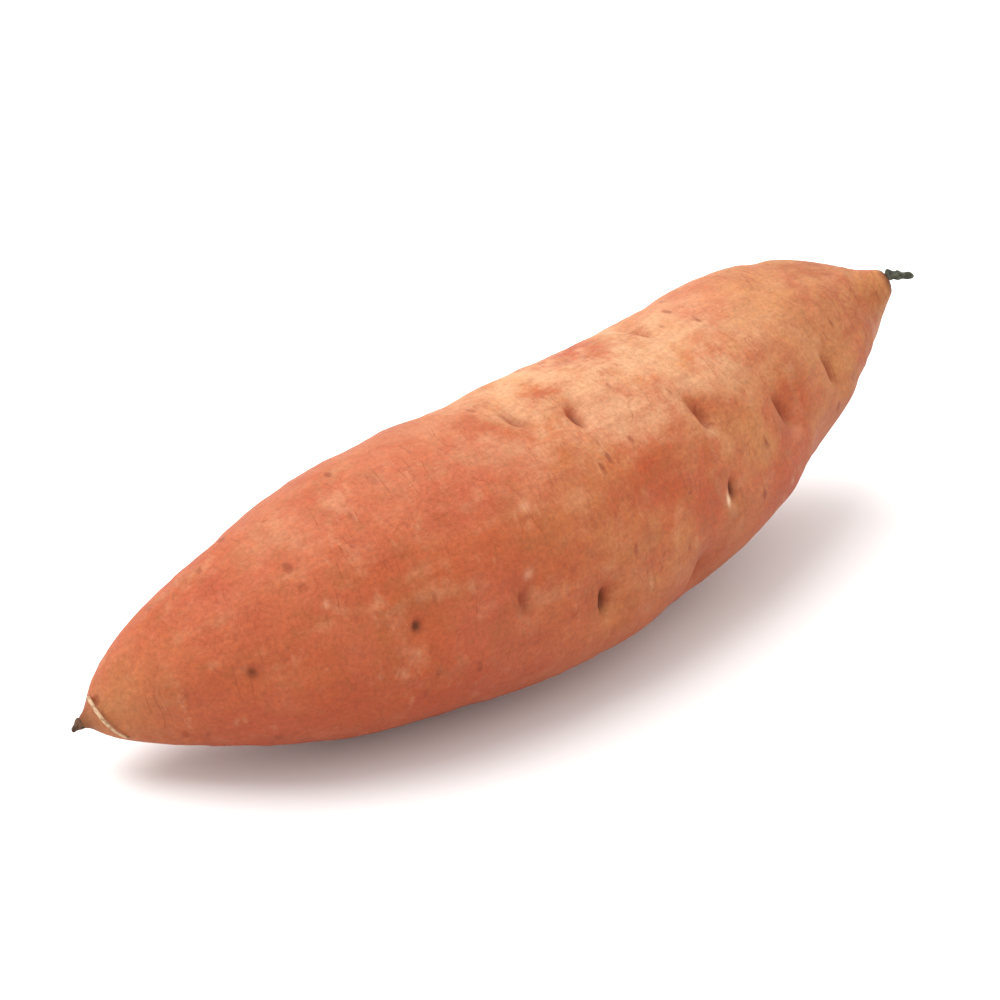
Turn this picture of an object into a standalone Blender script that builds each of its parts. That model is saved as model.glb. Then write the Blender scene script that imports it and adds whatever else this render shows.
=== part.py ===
"""Sweet potato: one whole storage root, lying on a small flat spot under its belly.

The root is one grown piece. A middle line runs from the thin root tail, over the fat
belly, to the dry stalk stub on the crown. Rings of points stand square to that line, and
their size follows a profile, so the body is one closed skin. Shallow lobes, furrows and
the pinched eyes, where side roots once grew, are formulas that move the skin in or out.

Lengths are in metres, angles in degrees. +X runs along the root, from tail to crown, and
+Z is up. An angle round the body starts at its top and turns towards -Y, its front. The
origin is at the bottom centre of the whole piece.
"""

import math

import bmesh
import bpy
import numpy as np

# Middle line, tail to crown, before the finished root is centred on the origin
SPINE = (
    (0.000, -0.0030, 0.0124),
    (0.012, -0.0070, 0.0168),
    (0.037, -0.0155, 0.0256),
    (0.067, -0.0180, 0.0290),
    (0.105, -0.0150, 0.0291),
    (0.140, -0.0068, 0.0302),
    (0.170, 0.0000, 0.0351),
    (0.190, 0.0030, 0.0404),
    (0.202, 0.0010, 0.0440),
    (0.211, -0.0036, 0.0500),
)

# Body radius at places along the middle line, each given as a share of its length
PROFILE = (
    (0.000, 0.0016),
    (0.018, 0.0062),
    (0.055, 0.0118),
    (0.117, 0.0178),
    (0.196, 0.0243),
    (0.275, 0.0283),
    (0.385, 0.0303),
    (0.500, 0.0306),
    (0.650, 0.0289),
    (0.750, 0.0260),
    (0.850, 0.0209),
    (0.915, 0.0149),
    (0.960, 0.0087),
    (0.985, 0.0040),
    (1.000, 0.0014),
)

# The two dry ends: length, radius at the far end, and the way the end turns
STALK_LENGTH = 0.0045
STALK_RADIUS = 0.0008
STALK_TURN = (0.86, -0.50, -0.05)
TAIL_LENGTH = 0.0035
TAIL_RADIUS = 0.0007
TAIL_TURN = (-0.70, -0.10, -0.70)

# Skin mesh: rings along the body, how far they crowd to its ends (0 is even, 1 is most),
# rings on each dry end, and points round a ring
BODY_RINGS = 88
RING_CROWDING = 0.75
END_RINGS = 4
RING_POINTS = 54

# Resting spot: the round belly is missing up to this height above its lowest point
FLAT_DEPTH = 0.0012

# Out-of-round shape: share of the radius, waves round the ring, phase, drift to the crown
LOBES = (
    (0.022, 2, -60.0, -40.0),
    (0.014, 3, 20.0, 30.0),
    (0.007, 5, 150.0, 80.0),
)

# Lengthwise furrows, and swells that lean to one side and then the next
FURROW_COUNT = 6
FURROW_DEPTH = 0.00025
FURROW_DRIFT = 140.0
SWELL_COUNT = 7
SWELL_HEIGHT = 0.00045
SWELL_DRIFT = 200.0

# Lobes, furrows and eyes fade out where the body is thinner than this radius
FULL_RADIUS = 0.012

# Eyes on the front: place along the body, angle round it, length of the pinched crease,
# its depth, and how far the crease turns away from square to the body
FRONT_EYES = (
    (0.033, 78.0, 0.004, 0.0004, 0.0),
    (0.062, 76.0, 0.005, 0.0008, 10.0),
    (0.083, 82.0, 0.008, 0.0007, 0.0),
    (0.101, 97.0, 0.008, 0.0014, 0.0),
    (0.130, 110.0, 0.010, 0.0011, 0.0),
    (0.140, 80.0, 0.006, 0.0007, 0.0),
    (0.101, 5.0, 0.008, 0.0005, -10.0),
    (0.114, 20.0, 0.006, 0.0009, -5.0),
    (0.140, 46.0, 0.010, 0.0010, -20.0),
    (0.153, 346.0, 0.008, 0.0006, 0.0),
    (0.167, 68.0, 0.010, 0.0012, -16.0),
    (0.189, 66.0, 0.008, 0.0008, 0.0),
)

# Eyes on the far sides: the rows' angles, the first and last places along the body, and
# the middle and spread of the crease length, of the depth and of the row's wander
FAR_ROWS = (205.0, 262.0, 318.0)
FAR_STEPS = 5
FAR_FIRST, FAR_LAST = 0.036, 0.195
FAR_LENGTH, FAR_LENGTH_SPREAD = 0.006, 0.002
FAR_DEPTH, FAR_DEPTH_SPREAD = 0.0007, 0.0003
FAR_WANDER = 9.0

# Shape of an eye: half width of the crease, and the shallow saucer that it lies in
EYE_WIDTH = 0.0024
SAUCER_REACH = 0.0075
SAUCER_SHARE = 0.45

SKIN_COLOUR = (0.58, 0.19, 0.09, 1.0)
SKIN_ROUGHNESS = 0.55


def clear_scene():
    """Removes what a new Blender file holds."""
    for thing in list(bpy.data.objects):
        bpy.data.objects.remove(thing, do_unlink=True)


def unit(vectors):
    """Scales every row to length one."""
    return vectors / np.linalg.norm(vectors, axis=-1, keepdims=True)


def smooth_through(knots, values, places):
    """Reads a smooth curve that passes through every knot, at the given places."""
    knots = np.asarray(knots, float)
    values = np.asarray(values, float)
    slopes = np.gradient(values, knots, axis=0)
    span = np.clip(np.searchsorted(knots, places, side="right") - 1, 0, len(knots) - 2)
    width = knots[span + 1] - knots[span]
    t = (places - knots[span]) / width
    if values.ndim == 2:
        t, width = t[:, None], width[:, None]
    start = (1 + 2 * t) * (1 - t) ** 2 * values[span] + t * (1 - t) ** 2 * width * slopes[span]
    end = t**2 * (3 - 2 * t) * values[span + 1] - t**2 * (1 - t) * width * slopes[span + 1]
    return start + end


def body_line():
    """The middle line of the body at each ring, and each ring's distance from the tail."""
    spine = np.array(SPINE)
    chords = np.linalg.norm(np.diff(spine, axis=0), axis=1)
    knots = np.concatenate([[0.0], np.cumsum(chords)])
    even = np.linspace(0.0, 1.0, BODY_RINGS)
    crowded = even - RING_CROWDING * np.sin(2 * math.pi * even) / (2 * math.pi)
    along = crowded * knots[-1]
    return smooth_through(knots, spine, along), along


def dry_end(base, outward, turn, length):
    """Points of a dry end that leaves the body outward and bends towards turn."""
    steps = np.arange(1, END_RINGS + 1)[:, None] / END_RINGS
    ways = unit(outward * (1 - steps) + unit(np.array(turn)) * steps)
    return base + np.cumsum(ways * length / END_RINGS, axis=0)


def whole_line():
    """Centres, radii and places of all rings from tail to stalk, and the body's length."""
    body, along = body_line()
    length = along[-1]
    shares, radii = np.array(PROFILE).T
    body_radii = smooth_through(shares, radii, along / length)

    stalk = dry_end(body[-1], unit(body[-1] - body[-2]), STALK_TURN, STALK_LENGTH)
    tail = dry_end(body[0], unit(body[0] - body[1]), TAIL_TURN, TAIL_LENGTH)
    stalk_radii = np.linspace(body_radii[-1], STALK_RADIUS, END_RINGS + 1)[1:]
    tail_radii = np.linspace(body_radii[0], TAIL_RADIUS, END_RINGS + 1)[1:]
    steps = np.arange(1, END_RINGS + 1) / END_RINGS

    centres = np.concatenate([tail[::-1], body, stalk])
    sizes = np.concatenate([tail_radii[::-1], body_radii, stalk_radii])
    places = np.concatenate(
        [-TAIL_LENGTH * steps[::-1], along, length + STALK_LENGTH * steps]
    )
    return centres, sizes, places, length


def far_eyes():
    """Eyes on the far sides, stepped along each row and staggered from row to row."""
    eyes = []
    for row, row_angle in enumerate(FAR_ROWS):
        for step in range(FAR_STEPS):
            stagger = 0.5 * (row % 2)
            place = FAR_FIRST + (FAR_LAST - FAR_FIRST) * (step + stagger) / FAR_STEPS
            wander = FAR_WANDER * math.sin(2.3 * step + 1.7 * row)
            length = FAR_LENGTH + FAR_LENGTH_SPREAD * math.sin(1.9 * step + row)
            depth = FAR_DEPTH + FAR_DEPTH_SPREAD * math.cos(2.7 * step + 2 * row)
            eyes.append((place, row_angle + wander, length, depth, wander))
    return eyes


def eye_depth(place, angles, radius):
    """How deep the eyes pinch the skin at one ring, for each angle round it."""
    depth = np.zeros_like(angles)
    for eye_place, eye_angle, length, deep, turn in list(FRONT_EYES) + far_eyes():
        forward = place - eye_place
        round_way = np.radians((angles - eye_angle + 180.0) % 360.0 - 180.0) * radius
        cosine, sine = math.cos(math.radians(turn)), math.sin(math.radians(turn))
        across = forward * cosine + round_way * sine
        lengthwise = round_way * cosine - forward * sine
        crease = np.exp(-((across / EYE_WIDTH) ** 2) - (2 * lengthwise / length) ** 2)
        saucer = np.exp(-(across**2 + (0.7 * lengthwise) ** 2) / SAUCER_REACH**2)
        depth += deep * (crease + SAUCER_SHARE * saucer)
    return depth


def ring_reach(place, radius, angles, length):
    """Distance of the skin from the middle line, for each angle round one ring."""
    share = min(max(place / length, 0.0), 1.0)
    lobes = np.zeros_like(angles)
    for size, waves, phase, drift in LOBES:
        lobes += size * np.cos(np.radians(waves * angles + phase + drift * share))
    furrow = np.cos(np.radians(FURROW_COUNT * angles + FURROW_DRIFT * share))
    swell = math.sin(SWELL_COUNT * math.pi * share)
    swell_side = np.cos(np.radians(angles - SWELL_DRIFT * share))
    relief = (
        radius * lobes
        + FURROW_DEPTH * furrow
        + SWELL_HEIGHT * swell * swell_side
        - eye_depth(place, angles, radius)
    )
    return radius + relief * min(1.0, radius / FULL_RADIUS)


def build_skin():
    """The closed skin as a bmesh, flat where the belly rests."""
    centres, sizes, places, length = whole_line()
    tangents = unit(np.gradient(centres, axis=0))
    fronts = unit(np.cross(tangents, np.array([0.0, 0.0, 1.0])))
    ups = np.cross(fronts, tangents)
    angles = np.arange(RING_POINTS) * 360.0 / RING_POINTS
    turns = np.radians(angles)[:, None]

    skin = bmesh.new()
    rings = []
    for centre, radius, place, front, up in zip(centres, sizes, places, fronts, ups):
        reach = ring_reach(place, radius, angles, length)[:, None]
        points = centre + reach * (np.cos(turns) * up + np.sin(turns) * front)
        rings.append([skin.verts.new(point) for point in points])
    for ring, following in zip(rings, rings[1:]):
        for k in range(RING_POINTS):
            n = (k + 1) % RING_POINTS
            skin.faces.new((ring[k], following[k], following[n], ring[n]))
    for ring, centre in ((rings[0], centres[0]), (rings[-1], centres[-1])):
        pole = skin.verts.new(centre)
        for k in range(RING_POINTS):
            skin.faces.new((ring[k], ring[(k + 1) % RING_POINTS], pole))
    bmesh.ops.recalc_face_normals(skin, faces=skin.faces)
    cut_resting_spot(skin)
    centre_on_origin(skin)
    return skin


def cut_resting_spot(skin):
    """Takes off the lowest part of the belly and closes it with one flat face."""
    floor = min(vert.co.z for vert in skin.verts) + FLAT_DEPTH
    bmesh.ops.bisect_plane(
        skin,
        geom=skin.verts[:] + skin.edges[:] + skin.faces[:],
        plane_co=(0.0, 0.0, floor),
        plane_no=(0.0, 0.0, -1.0),
        clear_outer=True,
    )
    rim = [edge for edge in skin.edges if edge.is_boundary]
    bmesh.ops.holes_fill(skin, edges=rim, sides=0)


def centre_on_origin(skin):
    """Moves the skin so that the bottom centre of its box is the origin."""
    points = np.array([vert.co for vert in skin.verts])
    low, high = points.min(axis=0), points.max(axis=0)
    middle = (low + high) / 2
    bmesh.ops.translate(skin, verts=skin.verts, vec=(-middle[0], -middle[1], -low[2]))


def skin_material():
    """Copper-red skin, dull with a faint sheen."""
    material = bpy.data.materials.new("skin")
    material.use_nodes = True
    shader = material.node_tree.nodes["Principled BSDF"]
    shader.inputs["Base Color"].default_value = SKIN_COLOUR
    shader.inputs["Roughness"].default_value = SKIN_ROUGHNESS
    shader.inputs["Metallic"].default_value = 0.0
    return material


def make_sweet_potato():
    """The whole root as one object."""
    skin = build_skin()
    mesh = bpy.data.meshes.new("sweet_potato")
    skin.to_mesh(mesh)
    skin.free()
    mesh.shade_smooth()
    mesh.materials.append(skin_material())
    root = bpy.data.objects.new("sweet_potato", mesh)
    bpy.context.scene.collection.objects.link(root)


clear_scene()
make_sweet_potato()
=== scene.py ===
# %% [markdown]
# # A sweet potato: from a plain solid to a root with its skin
# A sweet potato is one swollen root. It is fat in the belly, it runs out into a thin root
# tail, and at its crown a dry stub shows where it was cut from the vine. The fixed frame
# holds it as one plain solid of the right size. This lesson grows a fine skin over that
# solid: eyes, folds, furrows and specks, and then the colours of raw copper skin.
# Everything is in metres, +X runs from tail to crown, -Y is the front and +Z is up.

# %% Load the fixed frame
import math

import bpy
import numpy as np
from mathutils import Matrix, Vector, noise


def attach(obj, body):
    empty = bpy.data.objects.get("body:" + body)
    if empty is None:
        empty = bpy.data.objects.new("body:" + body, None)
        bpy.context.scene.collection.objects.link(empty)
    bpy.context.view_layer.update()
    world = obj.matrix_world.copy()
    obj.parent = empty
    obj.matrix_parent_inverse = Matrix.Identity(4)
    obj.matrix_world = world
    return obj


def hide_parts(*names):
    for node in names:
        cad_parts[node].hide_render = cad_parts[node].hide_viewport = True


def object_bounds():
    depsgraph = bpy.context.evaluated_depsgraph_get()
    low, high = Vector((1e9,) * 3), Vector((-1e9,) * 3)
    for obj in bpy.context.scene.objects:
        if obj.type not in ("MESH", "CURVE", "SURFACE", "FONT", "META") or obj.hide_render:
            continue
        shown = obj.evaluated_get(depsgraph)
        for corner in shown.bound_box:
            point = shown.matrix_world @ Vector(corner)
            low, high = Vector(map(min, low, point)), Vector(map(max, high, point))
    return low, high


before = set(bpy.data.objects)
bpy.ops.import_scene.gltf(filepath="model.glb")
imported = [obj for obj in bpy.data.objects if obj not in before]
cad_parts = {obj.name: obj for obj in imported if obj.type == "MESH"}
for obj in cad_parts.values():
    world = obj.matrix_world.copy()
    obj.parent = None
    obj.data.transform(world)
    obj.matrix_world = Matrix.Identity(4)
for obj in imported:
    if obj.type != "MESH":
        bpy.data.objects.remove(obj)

MM = 0.001
SOLID_LOW, SOLID_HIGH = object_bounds()
print("solid, mm:", [round(side / MM, 1) for side in SOLID_HIGH - SOLID_LOW])

# %% [markdown]
# ## The camera
# The root lies on a white table and is seen from a little above, so the camera looks down
# by less than a third of a right angle. A long lens keeps the far end as large as the near
# end, as product photographs do. The camera comes first, because every later choice is
# judged through it.

# %% Place the camera
CAMERA_PLACE = (-0.492, -0.6527, 0.4857)
CAMERA_DOWN = 29.0
CAMERA_TURN = -36.49
CAMERA_LENS = 160.4

bpy.ops.object.camera_add(
    location=CAMERA_PLACE,
    rotation=(math.radians(90 - CAMERA_DOWN), 0, math.radians(CAMERA_TURN)),
)
camera = bpy.context.object
camera.name = "camera"
camera.data.lens = CAMERA_LENS
camera.data.clip_start = 0.01
bpy.context.scene.camera = camera
print("camera to root, m:", round(camera.location.length, 3))

# %% [markdown]
# ## A mould from the solid
# The solid must never be changed, so a copy of it serves as a mould. Its triangles are
# loose, so their shared corners are merged first. The new skin is later pressed onto this
# mould, and the mould is thrown away at the end.


# %% Copy the solid and merge its corners
MERGE_DISTANCE = 0.01 * MM


def only(thing):
    """Selects one object alone and makes it active."""
    bpy.ops.object.select_all(action="DESELECT")
    thing.select_set(True)
    bpy.context.view_layer.objects.active = thing


only(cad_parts["sweet_potato"])
bpy.ops.object.duplicate()
mould = bpy.context.object
mould.name = "mould"
mould.parent = None
bpy.ops.object.mode_set(mode="EDIT")
bpy.ops.mesh.select_all(action="SELECT")
bpy.ops.mesh.remove_doubles(threshold=MERGE_DISTANCE)
bpy.ops.object.mode_set(mode="OBJECT")


def read_points(mesh, name=None):
    """The corners of a mesh, or a vector attribute of them, as rows of numbers."""
    values = np.zeros(3 * len(mesh.vertices), np.float32)
    if name is None:
        mesh.vertices.foreach_get("co", values)
    else:
        mesh.attributes[name].data.foreach_get("vector", values)
    return values.reshape(-1, 3).astype(float)


def write_points(mesh, places):
    """Moves the corners of a mesh to new places."""
    mesh.vertices.foreach_set("co", places.astype(np.float32).ravel())


mould_points = read_points(mould.data)
mould_edges = np.array([edge.vertices for edge in mould.data.edges])
print("mould corners:", len(mould_points))

# %% [markdown]
# ## The middle line
# A sweet potato bends, and its marks follow that bend: furrows run along it and eyes lie
# across it. So the root's middle line is found first. Cutting the mould square to X, as
# with a knife, gives a row of slices, and their centres are points of the line. The thin
# dry ends are left off, because they become pieces of their own.

# %% Cut slices and join their centres
TAIL_LEFT_OFF = 2.2 * MM
CROWN_LEFT_OFF = 4.0 * MM
BODY_START, BODY_END = SOLID_LOW.x + TAIL_LEFT_OFF, SOLID_HIGH.x - CROWN_LEFT_OFF
SLICES = 34


def slice_at(x):
    """Centre of one slice, as (x, y, z), and the radius of a circle of the same area."""
    start, end = mould_points[mould_edges[:, 0]], mould_points[mould_edges[:, 1]]
    crossing = (start[:, 0] - x) * (end[:, 0] - x) < 0
    start, end = start[crossing], end[crossing]
    share = (x - start[:, 0]) / (end[:, 0] - start[:, 0])
    rim = (start + share[:, None] * (end - start))[:, 1:]
    spread = rim - rim.mean(axis=0)
    rim = rim[np.argsort(np.arctan2(spread[:, 1], spread[:, 0]))]
    following = np.roll(rim, -1, axis=0)
    wedge = rim[:, 0] * following[:, 1] - rim[:, 1] * following[:, 0]
    area = wedge.sum() / 2
    centre = ((rim + following) * wedge[:, None]).sum(axis=0) / (6 * area)
    return (x, *centre), math.sqrt(abs(area) / math.pi)


turn = np.linspace(0, math.pi, SLICES)
stations = BODY_START + (BODY_END - BODY_START) * (1 - np.cos(turn)) / 2
cuts = [slice_at(x) for x in stations]
line = np.array([centre for centre, radius in cuts])
thickness = np.array([radius for centre, radius in cuts])
runs = np.concatenate([[0], np.cumsum(np.linalg.norm(np.diff(line, axis=0), axis=1))])
BODY_LENGTH = float(runs[-1])
print("length along the bend, mm:", round(BODY_LENGTH / MM, 1))
print("thickest, mm:", round(2 * thickness.max() / MM, 1))

# %% [markdown]
# ## A straight tube that knows its place
# It is easier to draw on a straight root than on a bent one. So the skin starts as an open
# cylinder along X, as long as the middle line. Its sides are cut into rings, and each ring
# gets the girth of its slice. Before it is bent, every point notes where it is on the
# straight root. That note, a vector attribute, follows the point through all that comes
# later, and both the relief and the colours read it.

# %% Make the tube and note the straight places
RING_POINTS = 56
RINGS = 104
RING_CROWDING = 0.5

bpy.ops.object.select_all(action="DESELECT")
bpy.ops.mesh.primitive_cylinder_add(
    vertices=RING_POINTS,
    radius=1.0,
    depth=BODY_LENGTH,
    end_fill_type="NOTHING",
    location=(BODY_LENGTH / 2, 0, 0),
    rotation=(0, math.radians(90), 0),
)
skin = bpy.context.object
skin.name = "sweet_potato_skin"
bpy.ops.object.transform_apply(location=True, rotation=True, scale=True)

bpy.ops.object.mode_set(mode="EDIT")
bpy.ops.mesh.select_mode(type="EDGE")
bpy.ops.mesh.select_all(action="DESELECT")
bpy.ops.object.mode_set(mode="OBJECT")
for edge in skin.data.edges:
    start, end = (skin.data.vertices[corner].co for corner in edge.vertices)
    edge.select = abs(start.x - end.x) > BODY_LENGTH / 2
bpy.ops.object.mode_set(mode="EDIT")
bpy.ops.mesh.subdivide(number_cuts=RINGS - 2)
bpy.ops.object.mode_set(mode="OBJECT")

tube = read_points(skin.data)
even = tube[:, 0] / BODY_LENGTH
crowded = even - RING_CROWDING * np.sin(2 * math.pi * even) / (2 * math.pi)
tube[:, 0] = BODY_LENGTH * crowded
tube[:, 1:] *= np.interp(tube[:, 0], runs, thickness)[:, None]
write_points(skin.data, tube)
note = skin.data.attributes.new("straight", "FLOAT_VECTOR", "POINT")
note.data.foreach_set("vector", tube.astype(np.float32).ravel())
print("rings:", RINGS, "points in all:", len(tube))

# %% [markdown]
# ## Bend the tube and press it onto the mould
# A Curve modifier carries the straight tube along the middle line. The curve keeps its
# upright direction, so the root's top stays on top. A Shrinkwrap modifier then pulls each
# point to the nearest place on the mould. Both are applied, because the relief needs the
# real points. Two rounds of subdivision turn the coarse net into a smooth one.

# %% Draw the middle line as a curve
PATH_POINTS = 160
PATH_SMOOTHINGS = 6

path = bpy.data.curves.new("middle_line", "CURVE")
path.dimensions = "3D"
path.twist_mode = "Z_UP"
spline = path.splines.new("POLY")
steps = np.linspace(0, BODY_LENGTH, PATH_POINTS)
path_points = np.array([np.interp(steps, runs, line[:, axis]) for axis in range(3)]).T
for _ in range(PATH_SMOOTHINGS):
    path_points[1:-1] = (path_points[:-2] + path_points[1:-1] + path_points[2:]) / 3
spline.points.add(len(path_points) - 1)
for point, place in zip(spline.points, path_points):
    point.co = (*place, 1)
middle_line = bpy.data.objects.new("middle_line", path)
bpy.context.scene.collection.objects.link(middle_line)
print("points on the curve:", len(spline.points))

# %% Bend, press and refine
SMOOTHING_ROUNDS = 2


def apply_modifier(thing, kind, **settings):
    """Adds a modifier to an object, sets it up and applies it."""
    only(thing)
    bpy.ops.object.modifier_add(type=kind)
    modifier = thing.modifiers[-1]
    for name, value in settings.items():
        setattr(modifier, name, value)
    bpy.ops.object.modifier_apply(modifier=modifier.name)


apply_modifier(skin, "CURVE", object=middle_line, deform_axis="POS_X")
apply_modifier(skin, "SHRINKWRAP", target=mould, wrap_method="NEAREST_SURFACEPOINT")
only(skin)
bpy.ops.object.mode_set(mode="EDIT")
bpy.ops.mesh.select_mode(type="VERT")
bpy.ops.mesh.select_all(action="DESELECT")
bpy.ops.mesh.select_non_manifold()
bpy.ops.mesh.fill_holes(sides=0)
bpy.ops.mesh.select_all(action="SELECT")
bpy.ops.mesh.normals_make_consistent(inside=False)
bpy.ops.object.mode_set(mode="OBJECT")
apply_modifier(
    skin, "SUBSURF", levels=SMOOTHING_ROUNDS, render_levels=SMOOTHING_ROUNDS
)
skin.data.shade_smooth()
print("skin faces:", len(skin.data.polygons))

# %% [markdown]
# ## Where each point of the skin is
# The relief is worked out for all points at once. Each point has a place along the root, an
# angle round it, which starts at the top and turns towards the front, and a distance from
# the middle line. All three come from the note that was made on the straight tube.

# %% Read places, angles and directions
points = read_points(skin.data)
straight = read_points(skin.data, "straight")
along = straight[:, 0]
angle = np.degrees(np.arctan2(-straight[:, 1], straight[:, 2])) % 360
girth = np.hypot(straight[:, 1], straight[:, 2])
normals = np.zeros(3 * len(points), np.float32)
skin.data.vertices.foreach_get("normal", normals)
normals = normals.reshape(-1, 3).astype(float)
height = np.zeros(len(points))
top_points = normals[(angle < 10) & (abs(along - BODY_LENGTH / 2) < 5 * MM)]
print("skin on top looks up:", bool(top_points[:, 2].min() > 0.8))

# %% [markdown]
# ## Swells, lumps, furrows and folds
# No part of a root is quite smooth. A few broad swells make the belly heavy and give the
# crown its shoulder; they are listed. Soft lumps as wide as a thumb come from the
# soil it grew in. Low furrows run lengthwise, where the flesh swelled between the strands.
# Fine folds cross it, deepest near the ends. Lumps, furrows and folds are smooth noise, each
# read at its own size. Stretching it along or across the straight root gives it a grain.


# %% Measure from a spot, read noise and fade
def offsets(place, about_angle):
    """How far each point lies along the root and round it from one spot, in metres."""
    forward = along - place * MM
    round_way = np.radians((angle - about_angle + 180) % 360 - 180) * girth
    return forward, round_way


def rough(places, size, offset=0.0, octaves=3):
    """Smooth random heights, about -1 to 1; another offset gives another pattern."""
    spots = (places + offset) / size
    return np.array([noise.fractal(spot, 1.0, 2.0, octaves) for spot in spots])


def fade(values, start, end):
    """Goes smoothly from 0 at start to 1 at end."""
    share = np.clip((values - start) / (end - start), 0, 1)
    return share * share * (3 - 2 * share)


near_end = 1 - fade(np.minimum(along, BODY_LENGTH - along), 0, 30 * MM)
body = fade(girth, 2 * MM, 9 * MM)
print("points near an end:", int((near_end > 0).sum()))

# %% Swell the broad places
# Place along the root (mm), angle, reach along and reach round it (mm), height (mm)
BROAD_SWELLS = (
    (40.0, 135, 16.0, 12.0, 1.2),
    (60.0, 129, 12.0, 12.0, 0.5),
    (92.0, 124, 15.0, 12.0, 1.0),
    (113.0, 120, 14.0, 12.0, 2.0),
    (148.0, 109, 10.0, 10.0, 0.8),
    (166.0, 103, 9.0, 9.0, 1.0),
    (199.0, 89, 8.0, 9.0, 1.8),
    (209.0, 91, 6.0, 8.0, 1.0),
    (184.0, 100, 6.0, 8.0, -0.8),
    (187.0, 343, 12.0, 10.0, 1.2),
    (225.0, 40, 4.0, 4.0, 0.4),
)

for place, about_angle, reach_along, reach_round, rise in BROAD_SWELLS:
    forward, round_way = offsets(place, about_angle)
    far = (forward / (reach_along * MM)) ** 2 + (round_way / (reach_round * MM)) ** 2
    height += rise * MM * np.exp(-far)
print("swells, mm:", round(height.min() / MM, 2), round(height.max() / MM, 2))

# %% Raise the lumps, furrows and folds
# Height and size of the soft lumps (mm), and their offset in the noise
SOFT_LUMPS = (
    (0.45, 16.0, 3.0),
    (0.13, 6.0, 5.0),
)
FURROW_STRETCH = (0.16, 1, 1)
FURROW_SIZE, FURROW_OFFSET = 3.6 * MM, 7.0
FURROW_HEIGHT, FURROW_MORE_AT_ENDS = 0.07, 0.10
FOLD_STRETCH = (1, 0.22, 0.22)
FOLD_SIZE, FOLD_OFFSET = 1.7 * MM, 9.0
FOLD_HEIGHT, FOLD_MORE_IN_PATCHES, FOLD_MORE_AT_ENDS = 0.020, 0.035, 0.03
FOLD_PATCH_SIZE, FOLD_PATCH_OFFSET = 16 * MM, 11.0

for rise, size, offset in SOFT_LUMPS:
    height += rise * MM * body * rough(straight, size * MM, offset)
furrows = rough(straight * FURROW_STRETCH, FURROW_SIZE, FURROW_OFFSET)
height += (FURROW_HEIGHT + FURROW_MORE_AT_ENDS * near_end) * MM * body * furrows
folds = rough(straight * FOLD_STRETCH, FOLD_SIZE, FOLD_OFFSET)
fold_patches = rough(straight, FOLD_PATCH_SIZE, FOLD_PATCH_OFFSET, octaves=2)
fold_patches = fade(fold_patches, -0.1, 0.5)
fold_height = FOLD_HEIGHT + FOLD_MORE_IN_PATCHES * fold_patches + FOLD_MORE_AT_ENDS * near_end
height += fold_height * MM * body * folds
print("relief so far, mm:", round(height.min() / MM, 2), round(height.max() / MM, 2))

# %% [markdown]
# ## Eyes
# An eye is the scar of a fine side root. The skin is drawn in round it to a shallow saucer,
# and folds into a crease that lies across the root like a closed eyelid, with soft lips on
# either side of it. Some have a dark pit. The eyes in front are listed, and those on
# the far sides follow rows, as they do on a real root. Two masks are kept for the colours:
# one for the crease, where shade is painted into the skin, and one for the pit's own dark colour.

# %% List the eyes and the soft folds
# Place along the root (mm), angle, crease length, depth and half width (mm), lean, pit
FRONT_EYES = (
    (33.3, 78, 4.0, 0.50, 0.8, 0, 0.55),
    (61.5, 76, 4.0, 0.75, 0.8, 10, 0.75),
    (83.0, 82, 7.0, 1.00, 1.2, 0, 0.2),
    (101.6, 97, 7.0, 1.80, 1.1, 0, 1.0),
    (131.0, 112, 10.0, 1.90, 1.4, 0, 0.2),
    (141.8, 80, 5.5, 1.00, 0.9, 0, 0.75),
    (99.8, 9, 9.0, 1.35, 1.3, -10, 0.1),
    (113.0, 21, 6.5, 1.60, 1.1, -5, 0.5),
    (141.0, 46, 10.0, 1.50, 1.4, -20, 0.1),
    (152.5, 349, 9.0, 1.60, 1.3, 0, 0.35),
    (168.0, 68, 9.5, 1.90, 1.3, -16, 0.35),
    (188.6, 70, 9.0, 1.15, 1.2, 0, 0.25),
)
# Blind folds, where the skin is drawn in across the root with no eye
SOFT_FOLDS = (
    (165.0, 44, 16.0, 0.70, 3.0, -24, 0.0),
    (186.0, 48, 14.0, 0.65, 2.8, -5, 0.0),
    (122.0, 62, 12.0, 0.45, 3.0, -15, 0.0),
    (74.0, 40, 14.0, 0.45, 3.2, 10, 0.0),
    (48.0, 110, 12.0, 0.50, 3.0, 0, 0.0),
    (150.0, 225, 14.0, 0.60, 3.0, 12, 0.0),
    (88.0, 290, 15.0, 0.60, 3.0, -12, 0.0),
)
print("listed eyes:", len(FRONT_EYES), "soft folds:", len(SOFT_FOLDS))

# %% Step the far eyes along their rows
FAR_ROWS = (205, 262, 318)
FAR_STEPS = 5
FAR_START, FAR_SPAN = 36.5, 159
FAR_WANDER = 9
# The middle and the swing of each measure: length, depth and half width (mm), and pit
FAR_LENGTH = (6, 2)
FAR_DEPTH = (0.9, 0.4)
FAR_WIDTH = (1.1, 0.3)
FAR_PIT = (0.5, 0.5)


def swung(measure, wave):
    """A measure that swings about its middle with a wave from -1 to 1."""
    middle, swing = measure
    return middle + swing * wave


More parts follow.
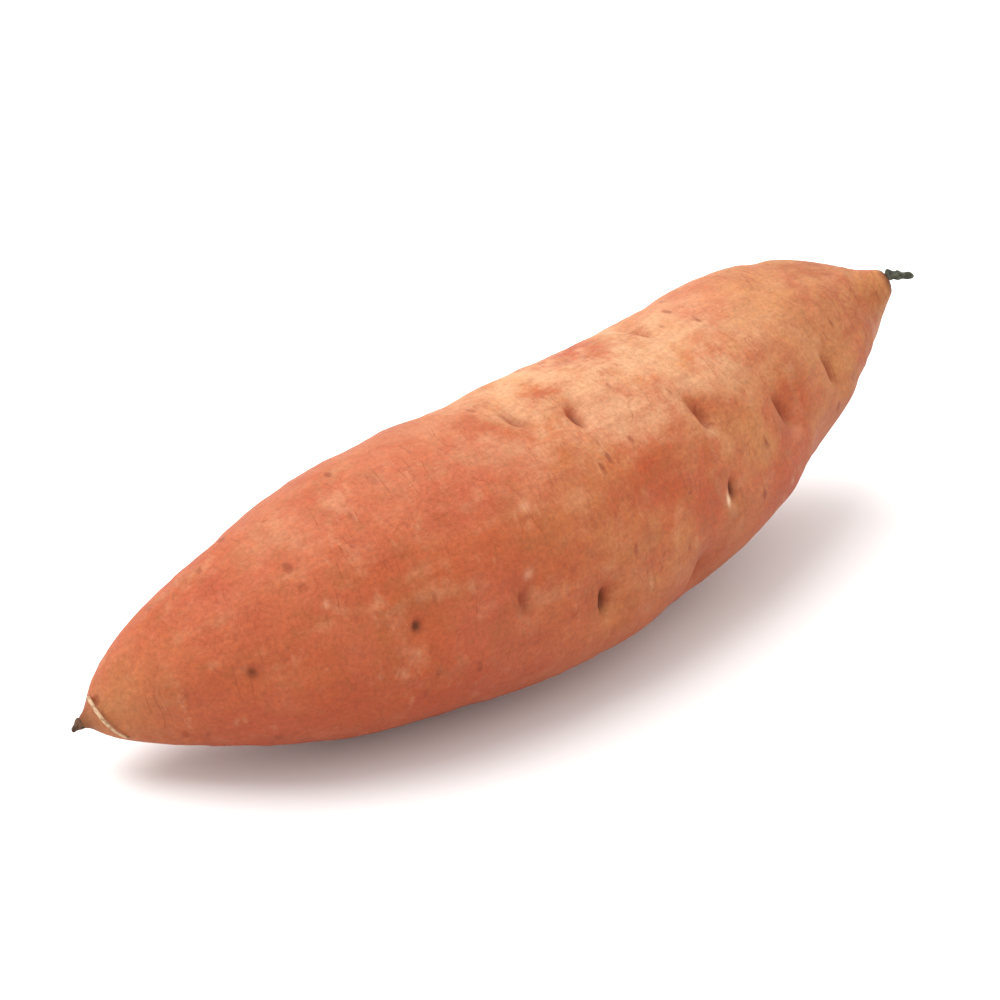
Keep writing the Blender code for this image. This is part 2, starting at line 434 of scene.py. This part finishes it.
def far_eyes():
    """Eyes on the far sides, stepped along each row and staggered from row to row."""
    eyes = []
    for row, row_angle in enumerate(FAR_ROWS):
        for step in range(FAR_STEPS):
            place = FAR_START + FAR_SPAN * (step + 0.5 * (row % 2)) / FAR_STEPS
            wander = FAR_WANDER * math.sin(2.3 * step + 1.7 * row)
            length = swung(FAR_LENGTH, math.sin(1.9 * step + row))
            depth = swung(FAR_DEPTH, math.cos(2.7 * step + 2 * row))
            width = swung(FAR_WIDTH, math.sin(3.1 * step + row))
            pit = swung(FAR_PIT, math.sin(4.1 * step + 3 * row))
            eyes.append((place, row_angle + wander, length, depth, width, wander, pit))
    return eyes


eyes = list(FRONT_EYES) + far_eyes()
print("eyes in all:", len(eyes))

# %% Press in the eyes
EYE_REACH = 18 * MM
CREASE_BOW = 0.35 * MM
SAUCER_REACH = 5.5 * MM
PIT_WIDTH = 1.10 * MM
# How much of an eye's depth each part takes: crease, saucer and pit, then lips and puckers
SLIT_SHARE, SAUCER_SHARE, PIT_SHARE = 0.70, 0.55, 0.55
TAIL_LIP_SHARE, CROWN_LIP_SHARE, PUCKER_SHARE = 0.30, 0.12, 0.04

# The crease mask carries painted shade into the colours; the pit mask is the scar's own dark colour
crease_shade_mask = np.zeros(len(points))
pits = np.zeros(len(points))
wobble_across = 0.50 * MM * rough(points, 4.5 * MM, 13.0)
wobble_round = 0.60 * MM * rough(points, 5.0 * MM, 15.0)
for place, eye_angle, length, depth, width, lean, pit in eyes + list(SOFT_FOLDS):
    forward, round_way = offsets(place, eye_angle)
    near = np.hypot(forward, round_way) < EYE_REACH
    forward = forward[near] + wobble_across[near]
    round_way = round_way[near] + wobble_round[near]
    cosine, sine = math.cos(math.radians(lean)), math.sin(math.radians(lean))
    across = forward * cosine + round_way * sine
    reach = (round_way * cosine - forward * sine) / (0.5 * length * MM)
    across = across - CREASE_BOW * reach**2
    width = width * MM
    open_part = np.exp(-(reach**2) * (1 + reach**2) / 1.5)
    steep = np.where(across < 0, 0.8, 1.5)
    slit = np.exp(-((across / (width * steep)) ** 2)) * open_part
    tail_lip = np.exp(-(((across + 2.6 * width) / (1.8 * width)) ** 2)) * open_part
    crown_lip = np.exp(-(((across - 3.6 * width) / (2.0 * width)) ** 2)) * open_part
    saucer = np.exp(-((across / SAUCER_REACH) ** 2) - (0.7 * reach) ** 2)
    spot = np.exp(-((across / PIT_WIDTH) ** 2) - (1.3 * reach) ** 2)
    pucker = np.cos(across / (0.6 * MM)) * np.exp(-((across / (4 * MM)) ** 2) - reach**2)
    height[near] -= depth * MM * (
        SLIT_SHARE * slit + SAUCER_SHARE * saucer + PIT_SHARE * pit * spot
        - TAIL_LIP_SHARE * tail_lip - CROWN_LIP_SHARE * crown_lip + PUCKER_SHARE * pucker
    )
    crease_shade = min(1, depth) * min(1, max(0, 2.2 * MM - width) / MM)
    crease_shade_mask[near] = np.maximum(crease_shade_mask[near], crease_shade * slit**1.5)
    pits[near] = np.maximum(pits[near], pit * spot)
print("relief now, mm:", round(height.min() / MM, 2), round(height.max() / MM, 2))

# %% [markdown]
# ## Small scars
# Between the eyes lie a few small marks: corky brown dots, and pale flecks where the thin
# outer skin was chipped. A dot stands a little proud and a fleck is a shallow chip. The
# largest ones are listed one by one, and the finer ones come later, with the colours.

# %% Add the brown dots and the pale flecks
# Place along the root (mm), angle, length round the root (mm), width along it (mm), strength
BROWN_DOTS = (
    (124.8, 15, 1.4, 1.0, 0.8),
    (111.6, 35, 1.2, 1.0, 0.7),
    (67.2, 9, 2.4, 1.6, 0.6),
    (154.0, 30, 1.5, 0.9, 0.5),
    (64.0, 88, 1.6, 1.0, 0.6),
)
DOT_HEIGHT = 0.12 * MM
PALE_FLECKS = (
    (139.9, 83, 2.8, 1.1, 1.0),
    (87.9, 46, 2.2, 1.4, 0.3),
    (84.7, 71, 2.0, 1.5, 0.35),
    (47.0, 52, 1.6, 0.9, 0.25),
    (163.0, 100, 2.0, 1.2, 0.25),
)
FLECK_DEPTH = 0.15 * MM


def small_marks(marks):
    """One mask with a soft oval for each mark."""
    mask = np.zeros(len(points))
    for place, about_angle, length, width, strength in marks:
        forward, round_way = offsets(place, about_angle)
        oval = (forward / (0.5 * width * MM)) ** 2 + (round_way / (0.5 * length * MM)) ** 2
        mask = np.maximum(mask, strength * np.exp(-oval))
    return mask


brown_dots = small_marks(BROWN_DOTS)
pale_flecks = small_marks(PALE_FLECKS)
height += DOT_HEIGHT * brown_dots - FLECK_DEPTH * pale_flecks
print("small scars:", len(BROWN_DOTS) + len(PALE_FLECKS))

# %% [markdown]
# ## Move the skin and keep its flat spot
# Every point now moves along its own normal by the height that was worked out. The belly
# may not sink into the table, so a point that would go below the flat spot stays on it.

# %% Move the points and store the masks
moved = points + normals * height[:, None]
moved[:, 2] = np.maximum(moved[:, 2], SOLID_LOW.z)
write_points(skin.data, moved)
masks = {"crease_shade_mask": crease_shade_mask, "pits": pits, "brown_dots": brown_dots, "pale_flecks": pale_flecks}
for name, mask in masks.items():
    attribute = skin.data.attributes.new(name, "FLOAT", "POINT")
    attribute.data.foreach_set("value", mask.astype(np.float32))
skin.data.update()
print("skin, mm:", [round(side / MM, 1) for side in moved.max(0) - moved.min(0)])

# %% [markdown]
# ## Helpers for node materials
# Materials are built from nodes in code. A small helper adds a node and links or fills its
# inputs in one line, so that a material reads like a recipe. Others mix two colours, do one
# sum, or turn a range of values into a soft mask.


# %% Write the node helpers
def new_material(name):
    """A material with nodes: gives it, its node tree and its shader."""
    material = bpy.data.materials.new(name)
    material.use_nodes = True
    return material, material.node_tree, material.node_tree.nodes["Principled BSDF"]


def dress(thing, material):
    """Gives an object one material and takes off any other."""
    thing.data.materials.clear()
    thing.data.materials.append(material)


def put(tree, kind, inputs=None, **settings):
    """Adds a shader node, sets its options, and links or fills its inputs."""
    node = tree.nodes.new("ShaderNode" + kind)
    for name, value in settings.items():
        setattr(node, name, value)
    for name, value in (inputs or {}).items():
        socket = node.inputs[name]
        if isinstance(value, bpy.types.NodeSocket):
            tree.links.new(value, socket)
        else:
            socket.default_value = value
    return node


def mixed(tree, first, second, share, way="MIX"):
    """Mixes two colours and gives the socket of the result."""
    node = put(tree, "Mix", {0: share, 6: first, 7: second}, data_type="RGBA", blend_type=way)
    return node.outputs[2]


def maths(tree, operation, *values):
    """Does one sum on numbers or sockets and gives the socket of the result."""
    return put(tree, "Math", dict(enumerate(values)), operation=operation).outputs[0]


def between(tree, value, low, high):
    """Turns low..high of a value into 0..1, with soft ends."""
    inputs = {"Value": value, "From Min": low, "From Max": high}
    return put(tree, "MapRange", inputs, interpolation_type="SMOOTHSTEP").outputs[0]


print("helpers:", [helper.__name__ for helper in (new_material, dress, put, mixed, maths, between)])

# %% [markdown]
# ## Two node groups that several finishes share
# Blotches are patches with soft or hard edges, cut out of noise. Grain is the finest layer:
# a speckle that shifts the colour and a height for the bump. The skin and the dry pieces use
# them, each with its own numbers, so each is a node group with named inputs and outputs.


# %% Build the blotches
def new_group(name, inputs, outputs):
    """An empty node group with named sockets, and its input and output nodes."""
    group = bpy.data.node_groups.new(name, "ShaderNodeTree")
    for socket_name, kind, value in inputs:
        socket = group.interface.new_socket(socket_name, in_out="INPUT", socket_type=kind)
        if value is not None:
            socket.default_value = value
    for socket_name, kind in outputs:
        group.interface.new_socket(socket_name, in_out="OUTPUT", socket_type=kind)
    return group, group.nodes.new("NodeGroupInput"), group.nodes.new("NodeGroupOutput")


def build_blotches():
    """A mask of soft patches: where, how large, how ragged, and how much is covered."""
    group, given, made = new_group(
        "blotches",
        (
            ("Place", "NodeSocketVector", None),
            ("Scale", "NodeSocketFloat", 60.0),
            ("Raggedness", "NodeSocketFloat", 0.55),
            ("Low", "NodeSocketFloat", 0.45),
            ("High", "NodeSocketFloat", 0.6),
        ),
        (("Mask", "NodeSocketFloat"),),
    )
    patches = put(
        group,
        "TexNoise",
        {
            "Vector": given.outputs["Place"],
            "Scale": given.outputs["Scale"],
            "Detail": 5.0,
            "Roughness": given.outputs["Raggedness"],
        },
    )
    mask = between(
        group, patches.outputs["Fac"], given.outputs["Low"], given.outputs["High"]
    )
    group.links.new(mask, made.inputs["Mask"])
    return group


blotches = build_blotches()


def patch(tree, place, scale, low, high, raggedness=0.55):
    """Places the blotches in a material: noise from low to high becomes a mask."""
    inputs = {"Place": place, "Scale": scale, "Raggedness": raggedness, "Low": low, "High": high}
    return put(tree, "Group", inputs, node_tree=blotches).outputs["Mask"]


print("group:", blotches.name, "nodes:", len(blotches.nodes))


# %% Build the grain
def build_grain():
    """Fine speckle: a colour shifted by it, and a height for the bump."""
    group, given, made = new_group(
        "grain",
        (
            ("Colour", "NodeSocketColor", (0.5, 0.5, 0.5, 1.0)),
            ("Place", "NodeSocketVector", None),
            ("Scale", "NodeSocketFloat", 900.0),
            ("Strength", "NodeSocketFloat", 0.3),
        ),
        (("Colour", "NodeSocketColor"), ("Height", "NodeSocketFloat")),
    )
    speckle = put(
        group,
        "TexNoise",
        {
            "Vector": given.outputs["Place"],
            "Scale": given.outputs["Scale"],
            "Detail": 4.0,
            "Roughness": 0.7,
        },
    )
    shade = put(
        group,
        "MapRange",
        {
            "Value": speckle.outputs["Fac"],
            "From Min": 0.3,
            "From Max": 0.7,
            "To Min": 0.55,
            "To Max": 1.3,
        },
    )
    shifted = mixed(
        group,
        given.outputs["Colour"],
        shade.outputs[0],
        given.outputs["Strength"],
        "MULTIPLY",
    )
    group.links.new(shifted, made.inputs["Colour"])
    group.links.new(speckle.outputs["Fac"], made.inputs["Height"])
    return group


grain = build_grain()


def speckled(tree, colour, place, scale, strength):
    """Places the grain in a material and gives its colour and its height."""
    inputs = {"Colour": colour, "Place": place, "Scale": scale, "Strength": strength}
    node = put(tree, "Group", inputs, node_tree=grain)
    return node.outputs["Colour"], node.outputs["Height"]


print("group:", grain.name, "nodes:", len(grain.nodes))

# %% [markdown]
# ## The skin's colours
# Raw copper skin is not one colour. Each layer of it is a mask that mixes one more colour
# in, from the largest marks to the smallest. A pattern without a grain is read at the place
# in the finished shape. A pattern with a grain is read at the place on the straight root,
# squeezed along some axes, so that its marks run along the root or across it.

# %% Name the colours and start the skin
COPPER = (0.405, 0.078, 0.023, 1.0)
ROSE = (0.430, 0.096, 0.040, 1.0)
TAN = (0.460, 0.176, 0.058, 1.0)
OCHRE = (0.390, 0.155, 0.052, 1.0)
TAN_BROWN = (0.300, 0.094, 0.028, 1.0)
# Pale skin, also used as a painted sheen on the ridge
PALE_AND_SHEEN = (0.590, 0.325, 0.172, 1.0)
# Red-brown of the streaks and patches, also used as painted shade on the belly and the tail
RED_BROWN_AND_SHADE = (0.300, 0.050, 0.020, 1.0)
# Brown of the corky dots and scars, also used as painted shade in the creases
DOT_BROWN_AND_CREASE_SHADE = (0.200, 0.035, 0.013, 1.0)
PIT_BROWN = (0.070, 0.017, 0.006, 1.0)
CHIP = (0.800, 0.560, 0.360, 1.0)

skin_finish, tree, skin_shader = new_material("sweet_potato_skin")


def masked(name):
    """A mask that was stored on the points of the skin."""
    return put(tree, "Attribute", attribute_name=name).outputs["Fac"]


def stretched(scale):
    """The place on the straight root, squeezed so that a pattern gets a grain."""
    return put(tree, "Mapping", {"Vector": root_place, "Scale": scale}).outputs["Vector"]


def from_to(start, end):
    """Goes from 0 to 1 along the root, between two places on it in metres."""
    return between(tree, where, start, end)


def times(first, second):
    """The product of two masks."""
    return maths(tree, "MULTIPLY", first, second)


def layer(below, above, mask, strength):
    """Lays one more colour over the others where a mask allows it."""
    return mixed(tree, below, above, times(mask, strength))


shape_place = put(tree, "TexCoord").outputs["Object"]
root_place = put(tree, "Attribute", attribute_name="straight").outputs["Vector"]
where = put(tree, "SeparateXYZ", {0: root_place}).outputs["X"]
upwards = put(tree, "SeparateXYZ", {0: put(tree, "NewGeometry").outputs["Normal"]}).outputs["Z"]
lengthwise = stretched((0.15, 1.0, 1.0))
crosswise = stretched((1.0, 0.40, 0.40))
print("colours start with nodes:", len(tree.nodes))

# %% [markdown]
# ### Clouds and patches
# Rose and copper lie in large soft clouds. Tan shows where the outer skin is thicker, most
# of all in the crown's half. The tail's half is a little redder and darker, partly its own tone
# and partly a painted shadow. Over them come smaller patches: red-brown, tan-brown and pale.

# %% Lay the clouds and patches
# Colour, place that is read, scale, low, high, raggedness, strength
PATCHES = (
    (RED_BROWN_AND_SHADE, shape_place, 90.0, 0.48, 0.70, 0.6, 0.34),
    (TAN_BROWN, root_place, 150.0, 0.46, 0.66, 0.7, 0.45),
    (PALE_AND_SHEEN, root_place, 140.0, 0.50, 0.72, 0.6, 0.22),
)

colour = mixed(tree, COPPER, ROSE, patch(tree, shape_place, 24.0, 0.40, 0.62))
crown_half = from_to(0.070, 0.120)
tan_patches = patch(tree, root_place, 45.0, 0.36, 0.60, 0.6)
colour = layer(colour, TAN, tan_patches, maths(tree, "MULTIPLY_ADD", crown_half, 0.70, 0.15))
# Partly its own tone, partly a painted shadow: the tail's half is darkened with red-brown
tail_tone_and_shadow = maths(tree, "SUBTRACT", 1.0, crown_half)
colour = layer(colour, RED_BROWN_AND_SHADE, tail_tone_and_shadow, 0.14)
for above, place, scale, low, high, raggedness, strength in PATCHES:
    mask = patch(tree, place, scale, low, high, raggedness)
    colour = layer(colour, above, mask, strength)
print("patch layers:", 3 + len(PATCHES))

# %% [markdown]
# ### A painted sheen on the ridge and painted shade on the belly
# The top, which faces the light, is painted paler: a painted sheen in ragged patches
# along the ridge and softly near the crown. The belly, which faces away from it, is painted
# a darker red: painted shade. Both are masks that read how far the surface looks up.

# %% Paint the sheen on the ridge and the shade on the belly
# Painted sheen: up-facing skin along the ridge is painted paler in ragged patches
ridge = between(tree, upwards, 0.50, 1.0)
ridge = times(ridge, maths(tree, "MULTIPLY_ADD", crown_half, 0.8, 0.2))
ridge = times(ridge, from_to(0.190, 0.150))
ridge_sheen = times(ridge, patch(tree, root_place, 70.0, 0.30, 0.60, 0.7))
colour = layer(colour, PALE_AND_SHEEN, ridge_sheen, 0.80)
# Painted sheen: up-facing skin near the crown is painted paler
crown_top_sheen = maths(tree, "MAXIMUM", times(from_to(0.130, 0.170), upwards), 0.0)
colour = layer(colour, PALE_AND_SHEEN, crown_top_sheen, 0.20)
# Painted shade: down-facing skin is painted a darker red
belly_shade = between(tree, upwards, 0.40, -0.40)
colour = layer(colour, RED_BROWN_AND_SHADE, belly_shade, 0.55)
print("nodes so far:", len(tree.nodes))

# %% [markdown]
# ### Streaks, cross marks and dry ends
# Faint red-brown streaks run along the root, and fine pale and brown marks lie across it.
# Towards both ends the skin turns to a dry ochre, which is streaked again near the crown.

# %% Draw the streaks and dry the ends
colour = layer(colour, RED_BROWN_AND_SHADE, patch(tree, lengthwise, 330.0, 0.44, 0.66, 0.6), 0.20)
broken = patch(tree, shape_place, 75.0, 0.45, 0.62)
cross_marks = times(broken, patch(tree, crosswise, 480.0, 0.54, 0.72))
colour = layer(colour, PALE_AND_SHEEN, cross_marks, 0.22)
colour = layer(colour, RED_BROWN_AND_SHADE, patch(tree, crosswise, 400.0, 0.56, 0.70, 0.6), 0.20)

past_tail = times(from_to(0.028, 0.0), 0.6)
past_crown = from_to(BODY_LENGTH - 0.045, BODY_LENGTH)
dry = maths(tree, "MAXIMUM", past_tail, past_crown)
dry = times(dry, maths(tree, "ADD", tan_patches, 0.45))
colour = layer(colour, OCHRE, maths(tree, "MINIMUM", dry, 1.0), 0.80)
crown_streaks = patch(tree, lengthwise, 210.0, 0.46, 0.60, 0.6)
crown_streaks = times(crown_streaks, from_to(0.175, 0.210))
colour = layer(colour, RED_BROWN_AND_SHADE, crown_streaks, 0.42)
print("nodes so far:", len(tree.nodes))

# %% [markdown]
# ### Dots, hairlines, creases and pits
# Corky dots are the cells of a sparse pattern. Hairlines are fine cracks: they lie where a
# slow noise passes its middle value, and here and there a patch lets them show. Then come
# the grain and the masks that were stored with the relief. The grain also frays the edge of
# each pit, so that no pit looks like a printed oval.

# %% Add the small marks
corky = put(tree, "TexVoronoi", {"Vector": stretched((1.0, 0.5, 0.5)), "Scale": 190.0})
dots = between(tree, corky.outputs["Distance"], 0.19, 0.07)
dots = times(dots, patch(tree, shape_place, 80.0, 0.43, 0.56))
colour = layer(colour, DOT_BROWN_AND_CREASE_SHADE, dots, 0.60)

slow_place = stretched((1.0, 0.22, 0.22))
slow_noise = put(tree, "TexNoise", {"Vector": slow_place, "Scale": 300.0, "Detail": 1.0})
off_middle = maths(tree, "SUBTRACT", slow_noise.outputs["Fac"], 0.5)
hairlines = between(tree, maths(tree, "ABSOLUTE", off_middle), 0.020, 0.0)
hairlines = times(hairlines, patch(tree, shape_place, 110.0, 0.48, 0.62))
colour = layer(colour, RED_BROWN_AND_SHADE, hairlines, 0.26)

colour, fine = speckled(tree, colour, shape_place, 1100.0, 0.45)
# Painted shade: the creases are darkened in colour
colour = layer(colour, DOT_BROWN_AND_CREASE_SHADE, masked("crease_shade_mask"), 0.80)
colour = layer(colour, DOT_BROWN_AND_CREASE_SHADE, masked("brown_dots"), 0.80)
frayed_pits = maths(tree, "MULTIPLY_ADD", fine, 0.45, masked("pits"))
colour = layer(colour, PIT_BROWN, between(tree, frayed_pits, 0.32, 1.05), 0.90)
colour = layer(colour, CHIP, masked("pale_flecks"), 0.85)
tips = maths(tree, "MAXIMUM", from_to(0.005, 0.0), from_to(BODY_LENGTH - 0.002, BODY_LENGTH))
colour = layer(colour, PIT_BROWN, tips, 0.70)
tree.links.new(colour, skin_shader.inputs["Base Color"])
print("nodes so far:", len(tree.nodes))

# %% [markdown]
# ### Gloss and fine bump
# Washed skin is dull with a faint sheen, and duller still in its creases. The bump holds
# only what is too small for the mesh: grain, wrinkles across the root, strands along it,
# dots and hairlines. A little light goes under the skin, as it does in any moist flesh.

# %% Set the gloss and the bump
dull = maths(tree, "MULTIPLY_ADD", fine, 0.30, 0.40)
dull = maths(tree, "MULTIPLY_ADD", masked("crease_shade_mask"), 0.2, dull)
tree.links.new(dull, skin_shader.inputs["Roughness"])

wrinkles = put(tree, "TexNoise", {"Vector": crosswise, "Scale": 850.0, "Detail": 4.0})
strands = put(tree, "TexNoise", {"Vector": lengthwise, "Scale": 650.0, "Detail": 3.0})
bump_height = maths(tree, "MULTIPLY_ADD", wrinkles.outputs["Fac"], 0.8, fine)
bump_height = maths(tree, "MULTIPLY_ADD", strands.outputs["Fac"], 0.7, bump_height)
bump_height = maths(tree, "MULTIPLY_ADD", dots, 0.4, bump_height)
bump_height = maths(tree, "MULTIPLY_ADD", hairlines, -0.4, bump_height)
bump = put(tree, "Bump", {"Height": bump_height, "Strength": 0.7, "Distance": 0.4 * MM})
tree.links.new(bump.outputs["Normal"], skin_shader.inputs["Normal"])
skin_shader.inputs["Subsurface Weight"].default_value = 0.05
skin_shader.inputs["Subsurface Radius"].default_value = (0.0020, 0.0007, 0.0003)
skin_shader.inputs["Subsurface Scale"].default_value = 1.0
skin_shader.inputs["Specular IOR Level"].default_value = 0.17

dress(skin, skin_finish)
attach(skin, "root")
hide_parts("sweet_potato")
print("skin nodes:", len(tree.nodes))

# %% [markdown]
# ## The dry ends
# At the crown, a short grey-brown stub with two knots is what remains of the vine. At the
# other end the root runs out into a thin dry tip, and one fine thread of root curls round
# it. A stub is grown from a disc that is extruded step by step and scaled at each step, as
# one would do by hand. The thread is too thin and curled for that, so it is a curve with a
# round section, laid on the skin and turned into a mesh.


# %% Write how a stub grows
STUB_SIDES = 12


def grow(name, base, tip, rings):
    """Extrudes a disc from base to tip through rings of share, radius and lift, in mm."""
    way = tip - base
    turned = way.to_track_quat("Z", "Y").to_euler()
    first_radius = rings[0][1] * MM
    bpy.ops.object.select_all(action="DESELECT")
    bpy.ops.mesh.primitive_circle_add(
        vertices=STUB_SIDES,
        radius=first_radius,
        fill_type="NGON",
        location=base,
        rotation=turned,
    )
    stem = bpy.context.object
    stem.name = name
    bpy.ops.object.transform_apply(location=True, rotation=True, scale=True)
    bpy.ops.object.mode_set(mode="EDIT")
    bpy.ops.mesh.select_all(action="SELECT")
    centre = base.copy()
    radius = first_radius
    for share, next_radius, lift in rings[1:]:
        target = base + share * way + Vector((0, 0, lift * MM))
        bpy.ops.mesh.extrude_region_move(TRANSFORM_OT_translate={"value": target - centre})
        factor = next_radius * MM / radius
        bpy.ops.transform.resize(value=(factor, factor, factor), center_override=target)
        centre, radius = target, next_radius * MM
    bpy.ops.mesh.select_all(action="SELECT")
    bpy.ops.mesh.normals_make_consistent(inside=False)
    bpy.ops.object.mode_set(mode="OBJECT")
    apply_modifier(
        stem, "SUBSURF", levels=SMOOTHING_ROUNDS, render_levels=SMOOTHING_ROUNDS
    )
    stem.data.shade_smooth()
    return stem


def crumple(thing, depth):
    """Roughens a dry piece along its normals."""
    places = read_points(thing.data)
    outward = np.array([vertex.normal for vertex in thing.data.vertices])
    places += outward * (depth * rough(places, 0.9 * MM))[:, None]
    write_points(thing.data, places)
    thing.data.update()


print("sides of a stub:", STUB_SIDES)

# %% Grow the two stubs
# Share of the way, radius (mm) and lift (mm) of each ring
VINE_RINGS = (
    (0.00, 1.60, 0.0), (0.16, 1.30, 0.0), (0.30, 0.85, 0.0), (0.41, 1.15, 0.1),
    (0.50, 1.10, 0.1), (0.60, 0.70, 0.0), (0.72, 0.95, 0.1), (0.86, 0.85, 0.1),
    (1.00, 0.40, 0.0),
)
TAIL_RINGS = (
    (0.00, 1.60, 0.0), (0.30, 1.40, 0.0), (0.50, 0.95, 0.0), (0.75, 0.70, 0.1),
    (1.00, 0.35, 0.0),
)
TIP_SLICE = 0.3 * MM
CROWN_LIFT = Vector((0, 0, 2.0 * MM))
CROWN_DROOP = 0.45
CROWN_TIP_SHIFT = Vector((0.7 * MM, -0.5 * MM, 0))
CROWN_ROOTED, TAIL_ROOTED = 0.2, 0.3

crown_tip = Vector(mould_points[mould_points[:, 0] > SOLID_HIGH.x - TIP_SLICE].mean(axis=0))
tail_tip = Vector(mould_points[mould_points[:, 0] < SOLID_LOW.x + TIP_SLICE].mean(axis=0))
crown_base = Vector(line[-1]) + CROWN_LIFT
vine_stub = grow(
    "vine_stub",
    crown_base + CROWN_ROOTED * (crown_base - crown_tip),
    crown_tip - CROWN_DROOP * CROWN_LIFT + CROWN_TIP_SHIFT,
    VINE_RINGS,
)
crumple(vine_stub, depth=0.16 * MM)
tail_base = Vector(line[0])
tail_stub = grow(
    "tail_stub", tail_base + TAIL_ROOTED * (tail_base - tail_tip), tail_tip, TAIL_RINGS
)
crumple(tail_stub, depth=0.14 * MM)
print("stub faces:", len(vine_stub.data.polygons), len(tail_stub.data.polygons))

# %% Lay the root thread on the skin
# Place along the root (mm), angle, height above the skin (mm), radius (mm)
THREAD_ROUTE = (
    (4.0, -22, -0.3, 0.45),
    (4.6, 0, 0.3, 0.42),
    (4.8, 22, 0.7, 0.40),
    (5.2, 55, 0.9, 0.38),
    (5.6, 90, 1.0, 0.36),
    (6.2, 114, 0.9, 0.32),
    (7.0, 128, 0.6, 0.26),
    (8.0, 136, 0.3, 0.18),
)


def on_skin(place, about_angle, lift):
    """A spot above the finished skin, from its place on the straight root."""
    forward, round_way = offsets(place, about_angle)
    nearest = int(np.argmin(np.hypot(forward, round_way)))
    return moved[nearest] + normals[nearest] * lift * MM


thread_curve = bpy.data.curves.new("root_thread", "CURVE")
thread_curve.dimensions = "3D"
thread_curve.bevel_depth = 1.0
thread_curve.bevel_resolution = 3
thread_curve.use_fill_caps = True
thread_line = thread_curve.splines.new("NURBS")
thread_line.points.add(len(THREAD_ROUTE) - 1)
thread_line.use_endpoint_u = True
thread_line.resolution_u = 6
for point, (place, about_angle, lift, radius) in zip(thread_line.points, THREAD_ROUTE):
    point.co = (*on_skin(place, about_angle, lift), 1)
    point.radius = radius * MM
root_thread = bpy.data.objects.new("root_thread", thread_curve)
bpy.context.scene.collection.objects.link(root_thread)
only(root_thread)
bpy.ops.object.convert(target="MESH")
bpy.ops.object.mode_set(mode="EDIT")
bpy.ops.mesh.select_all(action="SELECT")
bpy.ops.mesh.remove_doubles(threshold=MERGE_DISTANCE)
bpy.ops.mesh.normals_make_consistent(inside=False)
bpy.ops.object.mode_set(mode="OBJECT")
root_thread.data.shade_smooth()
crumple(root_thread, depth=0.05 * MM)
print("thread faces:", len(root_thread.data.polygons))

# %% [markdown]
# ## The finish of the dry ends
# Dry stalk and root tip are the same stuff at different ages, so one recipe serves all
# three pieces. Blotches of a second colour break up the first, and the grain is coarse and
# strong. What differs most is the colour: grey-green on the vine, dark brown on the tail,
# and straw on the thread.


# %% Mix the dry materials
def dry_material(name, colour, second, scale, bump_depth):
    """Dull, fibrous dry plant, in two colours."""
    material, tree, shader = new_material(name)
    place = put(tree, "TexCoord").outputs["Object"]
    mottle = patch(tree, place, scale, 0.42, 0.58, 0.7)
    shade, fine = speckled(tree, mixed(tree, colour, second, mottle), place, 2600.0, 0.6)
    tree.links.new(shade, shader.inputs["Base Color"])
    dull = maths(tree, "MULTIPLY_ADD", fine, 0.2, 0.62)
    tree.links.new(dull, shader.inputs["Roughness"])
    bump = put(tree, "Bump", {"Height": fine, "Strength": 0.8, "Distance": bump_depth})
    tree.links.new(bump.outputs["Normal"], shader.inputs["Normal"])
    shader.inputs["Specular IOR Level"].default_value = 0.25
    return material


DRY_BUMP = 0.15 * MM
# Piece, first and second colour, scale of the mottling
DRY_FINISHES = (
    (vine_stub, (0.080, 0.082, 0.056, 1.0), (0.032, 0.030, 0.021, 1.0), 700.0),
    (tail_stub, (0.130, 0.060, 0.030, 1.0), (0.045, 0.022, 0.014, 1.0), 700.0),
    (root_thread, (0.560, 0.380, 0.230, 1.0), (0.300, 0.160, 0.085, 1.0), 500.0),
)
for piece, colour, second, scale in DRY_FINISHES:
    dress(piece, dry_material("dry_" + piece.name, colour, second, scale, DRY_BUMP))
    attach(piece, "root")
print("dry pieces:", [piece.name for piece, *rest in DRY_FINISHES])

# %% [markdown]
# ## The table and the light
# The table is a plain pale sheet. One large soft light hangs above and a little behind the
# root, on the left, so that its ridge is bright and its shadow falls softly towards the
# viewer and to the right. A pale sky fills in the rest.

# %% Set the table, the light and the sky
FLOOR_SIZE = 6.0
FLOOR_GAP = 0.2 * MM
KEY_PLACE = (-0.30, 0.45, 1.28)
KEY_SIZE = 1.6
KEY_POWER = 24.0
SKY_COLOUR = (1.0, 0.99, 0.98, 1.0)
SKY_STRENGTH = 1.15

bpy.ops.object.select_all(action="DESELECT")
bpy.ops.mesh.primitive_plane_add(size=FLOOR_SIZE, location=(0, 0, SOLID_LOW.z - FLOOR_GAP))
floor = bpy.context.object
floor.name = "floor"
table_finish, _, floor_shader = new_material("pale_table")
floor_shader.inputs["Base Color"].default_value = (0.86, 0.86, 0.86, 1.0)
floor_shader.inputs["Roughness"].default_value = 0.7
floor_shader.inputs["Specular IOR Level"].default_value = 0.2
dress(floor, table_finish)

bpy.ops.object.light_add(type="AREA", location=KEY_PLACE)
key_light = bpy.context.object
key_light.name = "key_light"
key_light.rotation_euler = (-Vector(KEY_PLACE)).to_track_quat("-Z", "Y").to_euler()
key_light.data.size = KEY_SIZE
key_light.data.energy = KEY_POWER

world = bpy.data.worlds.new("pale_sky")
bpy.context.scene.world = world
world.use_nodes = True
sky = world.node_tree.nodes["Background"]
sky.inputs["Color"].default_value = SKY_COLOUR
sky.inputs["Strength"].default_value = SKY_STRENGTH
bpy.context.scene.view_settings.view_transform = "Standard"

# %% [markdown]
# ## Clear away
# The mould and the middle line have done their work, so both are removed.

# %% Clear away
for helper in (mould, middle_line):
    bpy.data.objects.remove(helper, do_unlink=True)
